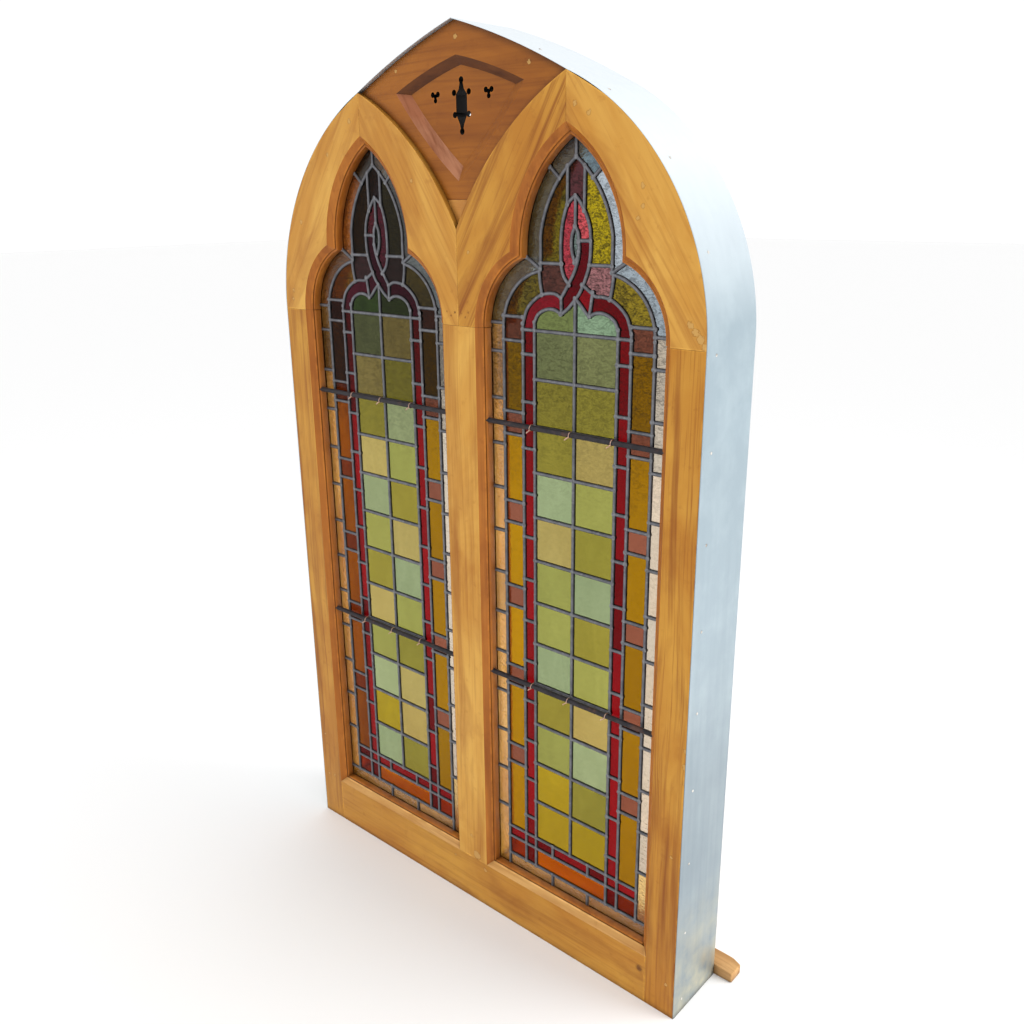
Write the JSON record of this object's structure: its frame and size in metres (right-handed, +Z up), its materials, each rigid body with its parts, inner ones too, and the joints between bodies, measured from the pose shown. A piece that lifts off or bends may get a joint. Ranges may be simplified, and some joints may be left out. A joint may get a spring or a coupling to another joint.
{
  "type": "stained glass window",
  "caption": "Twin lancet window: leaded coloured glass with trefoil heads in a pointed pine frame edged with sheet metal, standing on its base.",
  "frame": {"origin": "centre of the bounding box at the floor", "axes": "+Z up, +X across the window to the right as seen from its front, front face towards -Y"},
  "size_m": [1.076, 0.186, 1.712],
  "materials": {
    "frame_wood": "honey-stained varnished pine, worn at the arrises",
    "panel_wood": "darker stained pine, paler tip board",
    "bead_wood": "orange-brown varnished pine",
    "batten_wood": "rough brown softwood",
    "edge_metal": "thin pale sheet, lightly stained",
    "bar_iron": "dark painted bar",
    "lead": "dull grey lead, oxidised",
    "clear_glass": "clear, faintly uneven",
    "amber_glass": "amber and rose-brown, hammered",
    "ruby_glass": "deep ruby",
    "quarry_glass": "pale aqua, straw, green and olive, hammered",
    "head_glass": "deep olive, plum, amber and ruby, hammered"
  },
  "bodies": {
    "root": {"left_jamb": "frame_wood", "right_jamb": "frame_wood", "bottom_rail": "frame_wood", "mullion": "frame_wood", "left_head_outer": "frame_wood", "left_head_inner": "frame_wood", "right_head_outer": "frame_wood", "right_head_inner": "frame_wood", "tympanum_panel": "panel_wood", "tympanum_tip": "panel_wood", "foot_batten": "batten_wood", "left_band": "edge_metal", "right_band": "edge_metal", "left_bead_outer": "bead_wood", "left_bead_inner": "bead_wood", "left_bead_sill": "bead_wood", "left_bead_head_outer": "bead_wood", "left_bead_head_inner": "bead_wood", "right_bead_outer": "bead_wood", "right_bead_inner": "bead_wood", "right_bead_sill": "bead_wood", "right_bead_head_outer": "bead_wood", "right_bead_head_inner": "bead_wood", "left_saddle_bar_upper": "bar_iron", "left_saddle_bar_lower": "bar_iron", "right_saddle_bar_upper": "bar_iron", "right_saddle_bar_lower": "bar_iron", "left_lead_cames": "lead", "right_lead_cames": "lead", "left_clear_border": "clear_glass", "right_clear_border": "clear_glass", "left_amber_border": "amber_glass", "right_amber_border": "amber_glass", "left_ruby_border": "ruby_glass", "right_ruby_border": "ruby_glass", "left_quarries": "quarry_glass", "right_quarries": "quarry_glass", "left_head_glass": "head_glass", "right_head_glass": "head_glass"}
  },
  "joints": []
}
